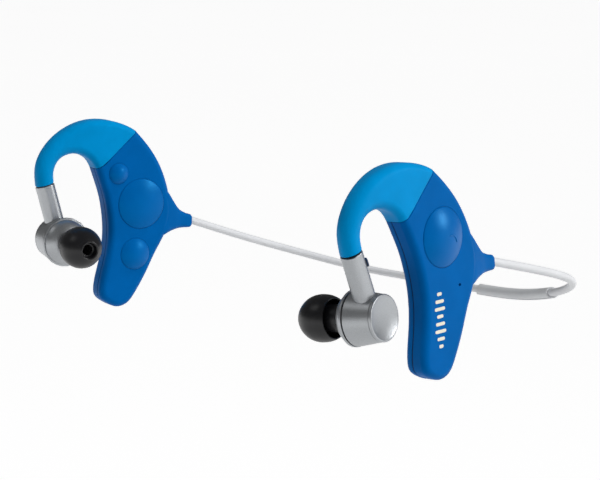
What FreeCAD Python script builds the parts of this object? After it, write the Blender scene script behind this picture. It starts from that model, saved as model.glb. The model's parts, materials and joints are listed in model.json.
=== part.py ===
import FreeCAD, Part
import math
import os

# Sports neckband earphones: two ear-hook pods joined by a flexible cord behind the neck.
# Frame in millimetres: +Z up, the wearer faces -Y, the left ear is at +X.  The origin is
# halfway between the two pods.  Each pod is drawn in its own frame (w outwards from the
# head, u backwards, v upwards) and then placed at its ear.

Vec = FreeCAD.Vector

SIZES = {
    "ear_offset": 75.0, "pod_shift_back": 0.4, "pod_shift_up": -0.07,
    "toe_left": 5.75, "lean_left": -2.87, "tip_left": 3.89,
    "toe_right": 6.74, "lean_right": -1.46, "tip_right": -3.89,
    "pod_thickness": 7.8, "wall": 1.1, "edge_round": 2.0,
    "gasket_inner_side": -1.05, "gasket_thickness": 0.3, "gasket_inset": 0.12,
    "seam_gap": 0.1, "core_radius": 0.6, "core_clearance": 0.06, "core_setback": 1.0,
    "stem_width": 5.8, "stem_thickness": 5.3, "stem_corner": 2.2, "stem_overrun": 0.6,
    "ring_radius": 2.6, "ring_thickness": 0.2, "ring_gap": 0.2, "joint_gap": 0.03,
    "mark_width": 1.6, "mark_length": 2.5, "mark_corner": 0.75, "mark_rise": 0.5,
    "mark_edge": 0.2, "mark_drop": 4.2, "mark_turn": 30.0,
    "can_front_radius": 7.5, "can_rear_radius": 6.35, "can_rear": -8.5, "can_front": -0.95,
    "can_wall": 0.7, "cap_thickness": 0.95, "cap_dish": 0.6,
    "bezel_radius": 7.65, "bezel_rear": -0.6, "bezel_front": 0.25, "groove_radius": 7.15,
    "dome_height": 3.4, "nozzle_radius": 2.6, "nozzle_bore": 1.7, "nozzle_length": 9.4,
    "nozzle_lip": 0.35, "mesh_thickness": 0.25,
    "magnet_radius": 4.4, "basket_radius": 5.6, "diaphragm_thickness": 0.15,
    "eartip_radius": 6.4, "skirt_radius": 5.75, "skirt_start": 6.9, "eartip_widest": 9.7,
    "eartip_length": 17.0, "eartip_bore": 1.9, "sleeve_radius": 3.75, "fit_gap": 0.04,
    "yaw_left": 10.0, "pitch_left": -3.0, "yaw_right": -1.5, "pitch_right": -0.6,
    "bezel_height_left": -14.1, "bezel_height_right": -12.7,
    "board_thickness": 0.8, "board_inset": 1.6,
    "button_gap": 0.15, "flange_width": 0.5, "flange_thickness": 0.5, "flange_depth": 2.2,
    "call_radius": 8.15, "call_ratio": 0.915, "call_rise": 1.8, "call_turn": -11.0,
    "play_radius": 8.0, "play_rise": 1.3, "up_radius": 3.3, "up_rise": 1.3,
    "down_radius": 5.0, "down_rise": 1.4, "switch_radius": 1.6,
    "microphone_radius": 1.5, "microphone_hole": 0.45,
    "port_width": 4.0, "port_length": 9.0, "port_wall": 0.8, "cover_width": 6.0,
    "cover_length": 11.0, "cover_corner": 1.2, "cover_thickness": 0.95, "cover_gap": 0.15,
    "cord_radius": 1.22, "boot_clearance": 0.04, "tube_radius": 1.78, "tube_bore": 1.28,
    "tube_slit": 0.5, "tube_start": 88.0, "tube_length": 39.5,
}

# Housing outline of one pod (u, v), from the top of the hook seam round the back, the
# bottom and the front to the lower end of the seam.
HOUSING = [
    (8.4, 22.3), (12.6, 18.2), (16.8, 12.9), (19.6, 7.6), (21.4, 2.5), (22.3, -2.5),
    (21.9, -7.5), (20.3, -12.0), (18.0, -16.5), (16.0, -21.0), (13.9, -25.5),
    (11.4, -30.0), (8.9, -33.1), (5.6, -34.2), (2.0, -33.0), (-0.5, -31.0), (-0.95, -28.3),
    (-0.4, -24.0), (0.55, -19.0), (1.05, -14.0), (0.95, -9.0), (0.2, -4.0), (-1.0, 0.8),
    (-2.6, 5.0), (-4.7, 9.9),
]
SEAM = [(-4.7, 9.9), (-2.5, 11.2), (-0.4, 13.3), (4.0, 17.8), (8.4, 22.3)]

# Hook sections: outer edge point, inner edge point, thickness and corner radius.
HOOK = [
    ((12.6, 18.2), (-2.6, 5.0), 7.8, 2.0),
    ((8.4, 22.3), (-4.7, 9.9), 7.8, 2.0),
    ((1.9, 24.8), (-6.5, 12.4), 7.7, 2.15),
    ((-5.1, 25.4), (-8.7, 13.8), 7.4, 2.45),
    ((-12.1, 23.8), (-11.6, 14.5), 7.0, 2.75),
    ((-18.3, 20.0), (-14.3, 14.0), 6.6, 3.0),
    ((-22.2, 15.4), (-16.8, 12.4), 6.2, 2.95),
    ((-24.2, 9.8), (-18.3, 9.0), 5.95, 2.9),
    ((-23.68, 3.82), (-18.07, 5.62), 5.9, 2.88),
]

# Strain-relief boot sections: distance back, top, bottom, thickness and corner radius.
BOOT = [
    (20.6, 4.3, -11.7, 7.2, 2.0), (22.6, 1.6, -10.4, 6.8, 1.9), (24.2, -0.7, -9.7, 6.1, 1.8),
    (26.2, -2.8, -9.2, 5.2, 1.6), (28.2, -3.9, -8.9, 4.5, 1.4), (29.8, -4.45, -8.8, 4.2, 1.2),
    (31.3, -4.95, -8.5, 3.9, 1.0),
]

# The seam's line carried on past both edges of the hook, and the corners of the block
# on the housing's side of it.
SEAM_LOW = (-8.5, 8.6)
SEAM_HIGH = (14.4, 28.4)
SEAM_REAR = 24.0
SEAM_FLOOR = -6.0

STEM_TOP = (0.0, -20.87, 4.72)
BEZEL_DEPTH = -6.2
BEZEL_BACK = -15.2
STEM_REACH = -4.9
CORD_START = (0.0, 25.5, -4.9)

# Cord route behind the neck: half width, distance back, mean height, lean to the left.
BAND = [
    (70.5, 46.0, -11.0, 3.3), (65.3, 68.1, -17.4, 4.1), (51.3, 83.6, -23.0, 3.8),
    (32.9, 94.1, -27.0, 2.0), (11.2, 98.2, -29.4, 0.3),
]

# Way the slit of the nape sleeve opens: forwards and a little down.
SLIT_FACING = (0.0, -0.95, -0.31)

CALL_BUTTON = (9.3, 3.9)
UP_BUTTON = (2.7, 8.7)
PLAY_BUTTON = (11.2, -0.8)
DOWN_BUTTON = (10.1, -16.9)
MICROPHONE = (14.4, -9.8)
PORT = (6.0, -22.5)

doc = FreeCAD.newDocument("neckband_earphones")
sheet = doc.addObject("Spreadsheet::Sheet", "Sizes")
for row, (alias, value) in enumerate(SIZES.items(), start=1):
    sheet.set("A%d" % row, alias)
    sheet.set("B%d" % row, str(value))
    sheet.setAlias("B%d" % row, alias)
doc.recompute()

nodes = []


def size(alias):
    return float(sheet.get(alias))


def keep(item, label):
    """Names a finished sub-part and lists it for export."""
    item.Label = label
    nodes.append(item)
    return item


def bind(item, **sizes):
    """Ties properties of a document object to expressions on the sheet."""
    for name, expression in sizes.items():
        item.setExpression(name, expression)


# ---------------------------------------------------------------- frames

class Pod:
    """One ear's frame: side is +1 for the left ear and -1 for the right."""

    def __init__(self, name, side):
        self.name = name
        self.side = side
        turn = FreeCAD.Rotation(
            side * size("toe_" + name), side * size("lean_" + name), size("tip_" + name))
        place = Vec(side * size("ear_offset"), side * size("pod_shift_back"),
                    side * size("pod_shift_up"))
        self.frame = FreeCAD.Placement(place, turn)

    def local(self, point):
        w, u, v = point
        return Vec(self.side * w, u, v)

    def world(self, point):
        return self.frame.multVec(self.local(point))

    def along(self, origin, direction, across=None):
        """A placement whose Z runs along a direction given in the pod's own frame."""
        turn = FreeCAD.Rotation(Vec(0, 0, 1), direction)
        if across is not None:
            turn = FreeCAD.Rotation(across, Vec(0, 0, 0), direction, "ZXY")
        return self.frame.multiply(FreeCAD.Placement(origin, turn))

    def inward(self):
        """Axis of the driver can, towards the ear canal, in the pod's own frame."""
        yaw = math.radians(size("yaw_" + self.name))
        pitch = math.radians(size("pitch_" + self.name))
        return self.local((-math.cos(yaw) * math.cos(pitch),
                           -math.sin(yaw) * math.cos(pitch), math.sin(pitch)))

    def bezel(self):
        """Centre of the bezel in the pod's own frame; the two drivers hang at two heights."""
        return self.local((BEZEL_DEPTH, BEZEL_BACK, size("bezel_height_" + self.name)))

    def driver_frame(self):
        return self.along(self.bezel(), self.inward())


# ---------------------------------------------------------------- sketches and bodies

def new_body(label, placement):
    body = doc.addObject("PartDesign::Body", label)
    body.Placement = placement
    return keep(body, label)


def new_sketch(body, role, name, offset=0.0):
    plane = [item for item in body.Origin.OriginFeatures if item.Role == role][0]
    sketch = body.newObject("Sketcher::SketchObject", name)
    sketch.AttachmentSupport = [(plane, "")]
    sketch.MapMode = "FlatFace"
    sketch.AttachmentOffset = FreeCAD.Placement(Vec(0, 0, offset), FreeCAD.Rotation())
    return sketch


def smooth(points):
    curve = Part.BSplineCurve()
    curve.interpolate([Vec(x, y, 0) for x, y in points])
    return curve


def inset(points, distance):
    """Moves an open outline's points to the inside of the pod by a distance."""
    moved = []
    for index, (x, y) in enumerate(points):
        before = points[max(index - 1, 0)]
        after = points[min(index + 1, len(points) - 1)]
        run = math.hypot(after[0] - before[0], after[1] - before[1])
        moved.append((x + distance * (after[1] - before[1]) / run,
                      y - distance * (after[0] - before[0]) / run))
    return moved


def crossing(first, second, third, fourth):
    """Where the line through two points meets the line through two others."""
    ax, ay = second[0] - first[0], second[1] - first[1]
    bx, by = fourth[0] - third[0], fourth[1] - third[1]
    step = ((third[0] - first[0]) * by - (third[1] - first[1]) * bx) / (ax * by - ay * bx)
    return (first[0] + step * ax, first[1] + step * ay)


def draw_outline(sketch, distance=0.0):
    """The pod's outline, moved in by a distance: one smooth edge and the hook seam."""
    edge = inset(HOUSING, distance)
    seam = inset(SEAM, distance)
    top = crossing(edge[0], edge[1], seam[-2], seam[-1])
    bottom = crossing(edge[-1], edge[-2], seam[0], seam[1])
    edge[0], edge[-1] = top, bottom
    seam[0], seam[-1] = bottom, top
    sketch.addGeometry(smooth(edge), False)
    sketch.addGeometry(smooth(seam), False)


def draw_profile(sketch, steps):
    """Closed profile: a step is a point, or a pair (point on an arc, end of the arc)."""
    here = Vec(steps[0][0], steps[0][1], 0)
    first = here
    for step in steps[1:] + [steps[0]]:
        if isinstance(step[0], tuple):
            middle, end = [Vec(x, y, 0) for x, y in step]
            sketch.addGeometry(Part.Arc(here, middle, end), False)
        else:
            end = Vec(step[0], step[1], 0)
            if (end - here).Length > 1e-6:
                sketch.addGeometry(Part.LineSegment(here, end), False)
        here = end
    assert (here - first).Length < 1e-6


def pad(body, sketch, side, length):
    raised = body.newObject("PartDesign::Pad", sketch.Name + "_pad")
    raised.Profile = sketch
    raised.Reversed = side < 0
    bind(raised, Length=length)
    sketch.Visibility = False
    return raised


def pocket(body, sketch, side, length):
    """Cuts from the sketch plane towards +X when side is positive."""
    cut = body.newObject("PartDesign::Pocket", sketch.Name + "_cut")
    cut.Profile = sketch
    cut.Reversed = side > 0
    bind(cut, Length=length)
    doc.recompute()
    before = cut.BaseFeature.Shape.Volume
    assert cut.Shape.Volume < before - 1e-3, sketch.Name + " cuts nothing"


def turned(label, placement, steps):
    """A body turned about its own Z axis from a profile of (radius, height) steps."""
    body = new_body(label, placement)
    sketch = new_sketch(body, "XZ_Plane", label + "_profile")
    draw_profile(sketch, steps)
    turn = body.newObject("PartDesign::Revolution", label + "_turn")
    turn.Profile = sketch
    turn.ReferenceAxis = (sketch, ["V_Axis"])
    turn.Angle = 360
    return body


def rounded_wire(centre, across, width, through, depth, corner):
    """Rounded rectangle as eight edges, so that every section lofts edge to edge."""
    half = width / 2
    deep = depth / 2
    corner = min(corner, half - 0.03, deep - 0.03)
    quarter = corner * (1 - math.sqrt(0.5))

    def at(x, y):
        return centre + across * x + through * y

    edges = []
    signs = [(1, 1), (-1, 1), (-1, -1), (1, -1)]
    for index, (sx, sy) in enumerate(signs):
        nx, ny = signs[(index + 1) % 4]
        side_end = at(sx * half, sy * (deep - corner))
        top_end = at(sx * (half - corner), sy * deep)
        bend = at(sx * (half - quarter), sy * (deep - quarter))
        if sx * sy > 0:
            edges.append(Part.Arc(side_end, bend, top_end).toShape())
            edges.append(Part.LineSegment(top_end, at(nx * (half - corner), ny * deep)).toShape())
        else:
            edges.append(Part.Arc(top_end, bend, side_end).toShape())
            edges.append(Part.LineSegment(side_end, at(nx * half, ny * (deep - corner))).toShape())
    return Part.Wire(edges)


def arc_path(points):
    """Straight runs joined by tangent arcs that are as large as the runs allow."""
    runs = [(b - a).Length for a, b in zip(points, points[1:])]
    edges = []
    radii = []
    here = points[0]
    for index in range(1, len(points) - 1):
        corner = points[index]
        arriving = (corner - points[index - 1]).normalize()
        leaving = (points[index + 1] - corner).normalize()
        reach = 0.45 * min(runs[index - 1], runs[index])
        half_turn = arriving.getAngle(leaving) / 2
        radius = reach / math.tan(half_turn)
        radii.append(radius)
        bisector = (leaving - arriving).normalize()
        start = corner - arriving * reach
        end = corner + leaving * reach
        middle = corner + bisector * (radius / math.cos(half_turn) - radius)
        edges.append(Part.LineSegment(here, start).toShape())
        edges.append(Part.Arc(start, middle, end).toShape())
        here = end
    edges.append(Part.LineSegment(here, points[-1]).toShape())
    return Part.Wire(edges), radii


def round_tube(points, radius):
    path, radii = arc_path(points)
    ring = Part.Wire(Part.makeCircle(radius, points[0], points[1] - points[0]))
    return path.makePipeShell([ring], True, False), path.Length, radii


def feature(label, shape, placement=None):
    item = doc.addObject("Part::Feature", label)
    item.Shape = shape
    if placement is not None:
        item.Placement = placement
    return keep(item, label)


# ---------------------------------------------------------------- housing

def outer_shell(pod):
    label = pod.name + "_outer_shell"
    body = new_body(label, pod.frame)
    low = pod.side * (size("gasket_inner_side") + size("gasket_thickness"))
    outline = new_sketch(body, "YZ_Plane", label + "_outline", low)
    draw_outline(outline)
    solid = pad(body, outline, pod.side,
                "Sizes.pod_thickness / 2 - Sizes.gasket_inner_side - Sizes.gasket_thickness")
    round_edge(body, solid, pod.side * size("pod_thickness") / 2)
    hollow = new_sketch(body, "YZ_Plane", label + "_hollow", low)
    draw_outline(hollow, size("wall"))
    pocket(body, hollow, pod.side, "Sizes.pod_thickness / 2 - Sizes.gasket_inner_side"
           " - Sizes.gasket_thickness - Sizes.wall")
    return body


def inner_shell(pod):
    label = pod.name + "_inner_shell"
    body = new_body(label, pod.frame)
    high = pod.side * size("gasket_inner_side")
    outline = new_sketch(body, "YZ_Plane", label + "_outline", high)
    draw_outline(outline)
    solid = pad(body, outline, -pod.side, "Sizes.pod_thickness / 2 + Sizes.gasket_inner_side")
    round_edge(body, solid, -pod.side * size("pod_thickness") / 2)
    hollow = new_sketch(body, "YZ_Plane", label + "_hollow", high)
    draw_outline(hollow, size("wall"))
    pocket(body, hollow, -pod.side,
           "Sizes.pod_thickness / 2 + Sizes.gasket_inner_side - Sizes.wall")
    return body


def round_edge(body, solid, face_x):
    """Rounds the long outer edge of the face at face_x and leaves the seam edge sharp."""
    doc.recompute()
    edges = [(edge.Length, "Edge%d" % number)
             for number, edge in enumerate(solid.Shape.Edges, start=1)
             if all(abs(vertex.Point.x - face_x) < 1e-4 for vertex in edge.Vertexes)]
    fillet = body.newObject("PartDesign::Fillet", solid.Name + "_round")
    fillet.Base = (solid, [max(edges)[1]])
    bind(fillet, Radius="Sizes.edge_round")
    body.Tip = fillet
    doc.recompute()


def shell_gasket(pod):
    label = pod.name + "_shell_gasket"
    body = new_body(label, pod.frame)
    outline = new_sketch(body, "YZ_Plane", label + "_outline", pod.side * size("gasket_inner_side"))
    draw_outline(outline, size("gasket_inset"))
    draw_outline(outline, size("wall"))
    pad(body, outline, pod.side, "Sizes.gasket_thickness")
    return body


def opening(body, pod, face, centre, radius_expression, ratio=1.0, turn=0.0):
    """Cuts a round or oval hole through the wall on the outer (+1) or inner (-1) face."""
    label = "%s_hole_%d" % (body.Label, len(body.Group))
    outside = pod.side * face * (size("pod_thickness") / 2 + 0.2)
    sketch = new_sketch(body, "YZ_Plane", label, outside)
    radius = sheet_value(radius_expression)
    if ratio == 1.0:
        sketch.addGeometry(Part.Circle(Vec(centre[0], centre[1], 0), Vec(0, 0, 1), radius), False)
    else:
        angle = math.radians(90.0 + turn)
        middle = Vec(centre[0], centre[1], 0)
        long_end = middle + Vec(math.cos(angle), math.sin(angle), 0) * radius
        short_end = middle + Vec(-math.sin(angle), math.cos(angle), 0) * radius * ratio
        sketch.addGeometry(Part.Ellipse(long_end, short_end, middle), False)
    pocket(body, sketch, -pod.side * face, "Sizes.wall + 0.4")


def sheet_value(expression):
    """Adds up a simple sum of sheet names, such as play_radius + button_gap."""
    return sum(size(name.strip()) for name in expression.split("+"))


def draw_rounded(sketch, centre, width, length, corner):
    """A rectangle with four rounded corners around a (u, v) place."""
    u, v = centre
    x, y = width / 2, length / 2
    bend = corner * (1 - math.sqrt(0.5))
    draw_profile(sketch, [
        (u - x + corner, v - y), (u + x - corner, v - y),
        ((u + x - bend, v - y + bend), (u + x, v - y + corner)), (u + x, v + y - corner),
        ((u + x - bend, v + y - bend), (u + x - corner, v + y)), (u - x + corner, v + y),
        ((u - x + bend, v + y - bend), (u - x, v + y - corner)), (u - x, v - y + corner),
        ((u - x + bend, v - y + bend), (u - x + corner, v - y))])


def slot_opening(body, pod, face):
    """Cuts the charging port's opening through the wall."""
    sketch = new_sketch(body, "YZ_Plane", body.Label + "_port",
                        pod.side * face * (size("pod_thickness") / 2 + 0.2))
    draw_rounded(sketch, PORT, size("cover_width"), size("cover_length"), size("cover_corner"))
    pocket(body, sketch, -pod.side * face, "Sizes.wall + 0.4")


# ---------------------------------------------------------------- hook

def hook_sections():
    wires = []
    through = Vec(1, 0, 0)
    for outer, inner, depth, corner in HOOK:
        high = Vec(0, outer[0], outer[1])
        low = Vec(0, inner[0], inner[1])
        across = high - low
        wires.append(rounded_wire((high + low) * 0.5, across.normalize(), (high - low).Length,
                                  through, depth, corner))
    return wires


def core_points():
    """Middle line of the hook, from inside the housing to the stem."""
    points = []
    for outer, inner, _, _ in HOOK:
        points.append(Vec(0, (outer[0] + inner[0]) / 2, (outer[1] + inner[1]) / 2))
    return points


def below_seam():
    """Block that fills the housing's side of the seam and runs a gap past it."""
    gap = size("seam_gap") * math.sqrt(0.5)
    side = -size("pod_thickness")
    edge = Part.BSplineCurve()
    edge.interpolate([Vec(side, u - gap, v + gap) for u, v in [SEAM_HIGH] + SEAM[::-1] + [SEAM_LOW]])
    high, low = edge.StartPoint, edge.EndPoint
    corners = [low, Vec(side, low.y, SEAM_FLOOR), Vec(side, SEAM_REAR, SEAM_FLOOR),
               Vec(side, SEAM_REAR, high.z), high]
    lines = [Part.LineSegment(a, b).toShape() for a, b in zip(corners, corners[1:])]
    return Part.Face(Part.Wire([edge.toShape()] + lines)).extrude(Vec(-2 * side, 0, 0))


def hook_and_core(pod):
    """Soft hook sleeve lofted through its sections, cut at the seam and bored for its core."""
    loft = Part.makeLoft(hook_sections(), True, False)
    middle = core_points()
    bore = round_tube(middle, size("core_radius") + size("core_clearance"))[0]
    feature(pod.name + "_hook", loft.cut(below_seam()).cut(bore), pod.frame)
    start = middle[1] + (middle[2] - middle[1]).normalize() * size("core_setback")
    core = round_tube([start] + middle[2:], size("core_radius"))[0]
    feature(pod.name + "_hook_core", core, pod.frame)


def stem_axis(pod):
    """Start and direction of the stem in the pod's frame, aimed at the can's middle line."""
    top = pod.local(STEM_TOP)
    aim = pod.bezel() + pod.inward() * STEM_REACH
    return top, aim - top


def stem_ring(pod):
    top, run = stem_axis(pod)
    ring = doc.addObject("Part::Cylinder", pod.name + "_stem_ring")
    bind(ring, Radius="Sizes.ring_radius", Height="Sizes.ring_thickness")
    ring.Placement = pod.along(top + run.normalize() * size("ring_gap"), run)
    return keep(ring, pod.name + "_stem_ring")


def stem(pod):
    """Rounded bar from the hook down to the can, cut to the can's cone."""
    label = pod.name + "_stem"
    top, run = stem_axis(pod)
    way = Vec(run).normalize()
    start = size("ring_gap") + size("ring_thickness") + size("joint_gap")
    begin = top + way * start
    body = doc.addObject("PartDesign::Body", label + "_bar")
    body.Placement = pod.along(begin, way, Vec(1, 0, 0))
    sketch = new_sketch(body, "XY_Plane", label + "_section")
    draw_rounded(sketch, (0, 0), size("stem_thickness"), size("stem_width"), size("stem_corner"))
    bar = body.newObject("PartDesign::Pad", label + "_pad")
    bar.Profile = sketch
    bar.Length = run.Length - size("can_rear_radius") + size("stem_overrun")
    cone = doc.addObject("Part::Cone", label + "_can_clearance")
    bind(cone, Radius1="Sizes.can_rear_radius + Sizes.joint_gap",
         Radius2="Sizes.can_front_radius + Sizes.joint_gap",
         Height="Sizes.can_front - Sizes.can_rear")
    cone.Placement = pod.along(pod.bezel() + pod.inward() * size("can_rear"), pod.inward())
    cut = doc.addObject("Part::Cut", label)
    cut.Base = body
    cut.Tool = cone
    return keep(cut, label)


def side_mark(pod):
    """Small raised pad on the stem's rear corner that tells the two ears apart by touch."""
    top, run = stem_axis(pod)
    way = Vec(run).normalize()
    outwards = Vec(pod.side, 0, 0)
    outwards = (outwards - way * outwards.dot(way)).normalize()
    behind = outwards.cross(way) * pod.side
    turn = math.radians(size("mark_turn"))
    facing = behind * math.cos(turn) + outwards * math.sin(turn)
    corner = size("stem_corner")
    place = (top + way * size("mark_drop") + facing * (corner + size("joint_gap"))
             + outwards * (size("stem_thickness") / 2 - corner)
             + behind * (size("stem_width") / 2 - corner))
    body = new_body(pod.name + "_side_mark", pod.along(place, facing, way.cross(facing)))
    sketch = new_sketch(body, "XY_Plane", "side_mark_outline")
    draw_rounded(sketch, (0, 0), size("mark_width"), size("mark_length"), size("mark_corner"))
    raised = pad(body, sketch, 1, "Sizes.mark_rise")
    doc.recompute()
    rim = ["Edge%d" % number for number, edge in enumerate(raised.Shape.Edges, start=1)
           if all(abs(vertex.Point.z - size("mark_rise")) < 1e-4 for vertex in edge.Vertexes)]
    soft = body.newObject("PartDesign::Fillet", "side_mark_round")
    soft.Base = (raised, rim)
    bind(soft, Radius="Sizes.mark_edge")
    body.Tip = soft


# ---------------------------------------------------------------- driver capsule

def driver_can(pod):
    rear, front = size("can_rear"), size("can_front")
    wide, narrow, wall = size("can_front_radius"), size("can_rear_radius"), size("can_wall")
    return turned(pod.name + "_driver_can", pod.driver_frame(), [
        (narrow - wall, rear), (narrow, rear), (wide, front), (wide - wall, front)])


def can_cap(pod):
    rear = size("can_rear")
    edge = size("can_rear_radius") - 0.03
    back = rear - size("cap_thickness")
    plug = size("can_rear_radius") - size("can_wall") - 0.05
    dish = size("cap_dish")
    return turned(pod.name + "_can_cap", pod.driver_frame(), [
        (0, back + dish), ((edge * 0.45, back + dish * 0.75), (edge - 0.75, back)),
        (edge - 0.3, back), ((edge - 0.09, back + 0.09), (edge, back + 0.3)),
        (edge, rear - 0.02), (plug, rear - 0.02), (plug, rear + 0.6), (0, rear + 0.6)])


def bezel_gasket(pod):
    rear, front = size("can_front"), size("bezel_rear")
    outer = size("groove_radius")
    return turned(pod.name + "_bezel_gasket", pod.driver_frame(), [
        (outer - 0.9, rear + 0.01), (outer, rear + 0.01), (outer, front - 0.01),
        (outer - 0.9, front - 0.01)])


def front_shell(pod):
    """Bezel ring, domed front and sound nozzle in one turned shell."""
    rim, rear, front = size("bezel_radius"), size("bezel_rear"), size("bezel_front")
    tall, neck, bore = size("dome_height"), size("nozzle_radius"), size("nozzle_bore")
    end, lip, wall = size("nozzle_length"), size("nozzle_lip"), size("can_wall")
    shoulder = rim - 0.5
    return turned(pod.name + "_front_shell", pod.driver_frame(), [
        (rim, rear), (rim, front - 0.2), ((rim - 0.06, front - 0.06), (rim - 0.2, front)),
        (shoulder, front),
        ((shoulder * 0.78, front + tall * 0.66), (neck + 0.7, tall)),
        (neck, tall + 0.3), (neck, end - 1.5), (neck + lip, end - 1.1), (neck + lip, end - 0.6),
        (neck, end), (bore, end), (bore, tall),
        ((shoulder * 0.62, front + tall * 0.5), (shoulder - wall, front)),
        (shoulder - wall, rear)])


def nozzle_mesh(pod):
    """Fine mesh disc set in the nozzle's bore near its end."""
    disc = doc.addObject("Part::Cylinder", pod.name + "_nozzle_mesh")
    bind(disc, Radius="Sizes.nozzle_bore - 0.02", Height="Sizes.mesh_thickness")
    disc.Placement = pod.along(
        pod.bezel() + pod.inward() * (size("nozzle_length") - 0.6), pod.inward())
    return keep(disc, pod.name + "_nozzle_mesh")


def driver_unit(pod):
    magnet, basket = size("magnet_radius"), size("basket_radius")
    return turned(pod.name + "_driver_magnet", pod.driver_frame(), [
        (0, -6.2), (magnet, -6.2), (magnet, -4.0), (basket, -3.2), (basket, -2.2),
        (basket - 0.5, -2.2), (basket - 0.5, -3.0), (0, -3.0)])


def diaphragm(pod):
    rim = size("basket_radius") - 0.05
    thin = size("diaphragm_thickness")
    low, crown = -2.05, -1.2
    return turned(pod.name + "_driver_diaphragm", pod.driver_frame(), [
        (0, crown), (0.8, crown), (2.6, low), (rim, low), (rim, low + thin),
        (2.65, low + thin), (0.85, crown + thin), (0, crown + thin)])


def ear_tip(pod):
    """Silicone tip: a sleeve over the nozzle with a dome that folds back as a skirt."""
    wide, skirt, bore = size("eartip_radius"), size("skirt_radius"), size("eartip_bore")
    start, widest, end = size("skirt_start"), size("eartip_widest"), size("eartip_length")
    sleeve = size("sleeve_radius")
    grip = size("nozzle_radius") + size("nozzle_lip") + size("fit_gap")
    nozzle = size("nozzle_length")
    root = size("dome_height") + 0.6
    return turned(pod.name + "_ear_tip", pod.driver_frame(), [
        (grip, root), (sleeve, root), (sleeve, 12.6), ((4.6, 13.2), (5.35, 12.3)),
        ((5.75, 10.6), (5.6, 9.0)), ((5.45, 7.5), (skirt - 0.55, start)),
        ((skirt - 0.28, start - 0.24), (skirt, start)),
        ((wide - 0.22, start + 1.8), (wide, widest)),
        ((5.2, widest + 5.0), (bore + 1.0, end - 0.15)),
        ((bore + 0.25, end - 0.05), (bore, end - 0.55)), (bore, nozzle + 0.4),
        (grip, nozzle + 0.1)])


# ---------------------------------------------------------------- boot and cord

def cord_route(pods):
    left, right = pods
    points = [left.world(CORD_START)]
    points += [Vec(x, y, z + lean) for x, y, z, lean in BAND]
    points += [Vec(-x, y, z - lean) for x, y, z, lean in BAND[::-1]]
    points.append(right.world(CORD_START))
    return points


def cord_boot(pod, route):
    """Flared strain relief moulded against the back of the housing, bored for the cord."""
    wires = []
    for back, top, bottom, depth, corner in BOOT:
        wires.append(rounded_wire(Vec(0, back, (top + bottom) / 2), Vec(0, 0, 1), top - bottom,
                                  Vec(1, 0, 0), depth, corner))
    solid = Part.makeLoft(wires, True, False)
    edge = Part.BSplineCurve()
    edge.interpolate([Vec(-6, u, v) for u, v in inset(HOUSING, -0.06)])
    closing = Part.LineSegment(edge.EndPoint, edge.StartPoint)
    wire = Part.Wire([edge.toShape(), closing.toShape()])
    housing = Part.Face(wire).extrude(Vec(12, 0, 0))
    start, after = (route[0], route[1]) if pod.side > 0 else (route[-1], route[-2])
    back_in = pod.frame.inverse()
    low, high = back_in.multVec(start), back_in.multVec(after)
    bore = Part.makeCylinder(size("cord_radius") + size("boot_clearance"), 24,
                             low - (high - low).normalize() * 6, high - low)
    feature(pod.name + "_cord_boot", solid.cut(housing).cut(bore), pod.frame)


def neckband(pods):
    """The cord in one tube, with its split sleeve at the nape."""
    route = cord_route(pods)
    radius = size("cord_radius")
    cord, length, radii = round_tube(route, radius)
    expected = math.pi * radius ** 2 * length
    print("cord length %.1f mm, volume %.1f of %.1f, radii %s"
          % (length, cord.Volume, expected, [round(value) for value in radii]))
    assert abs(cord.Volume - expected) < 0.01 * expected
    feature("neckband_cord", cord)
    feature("cord_sleeve", split_sleeve(route))
    return route


def part_of_path(path, start, stop):
    """The stretch of a path between two distances from its beginning."""
    pieces = []
    passed = 0.0
    for edge in path.Edges:
        low = max(start - passed, 0.0)
        high = min(stop - passed, edge.Length)
        if high - low > 0.01:
            pieces.append(edge.Curve.toShape(edge.getParameterByLength(low),
                                             edge.getParameterByLength(high)))
        passed += edge.Length
    return Part.Wire(pieces)


def split_sleeve(route):
    """Sleeve with a section like a C, swept along the nape stretch of the cord's path."""
    begin = size("tube_start")
    path = part_of_path(arc_path(route)[0], begin, begin + size("tube_length"))
    outer, bore = size("tube_radius"), size("tube_bore")
    half = size("tube_slit") / 2
    first = path.Edges[0]
    start = first.valueAt(first.FirstParameter)
    way = first.tangentAt(first.FirstParameter).normalize()
    facing = Vec(*SLIT_FACING)
    facing = (facing - way * facing.dot(way)).normalize()
    sideways = way.cross(facing)

    def at(x, y):
        return start + sideways * x + facing * y

    wide, near = math.sqrt(outer ** 2 - half ** 2), math.sqrt(bore ** 2 - half ** 2)
    edges = [
        Part.Arc(at(half, wide), at(0, -outer), at(-half, wide)).toShape(),
        Part.LineSegment(at(-half, wide), at(-half, near)).toShape(),
        Part.Arc(at(-half, near), at(0, -bore), at(half, near)).toShape(),
        Part.LineSegment(at(half, near), at(half, wide)).toShape()]
    return path.makePipeShell([Part.Wire(edges)], True, False)


# ---------------------------------------------------------------- controls and electronics

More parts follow.
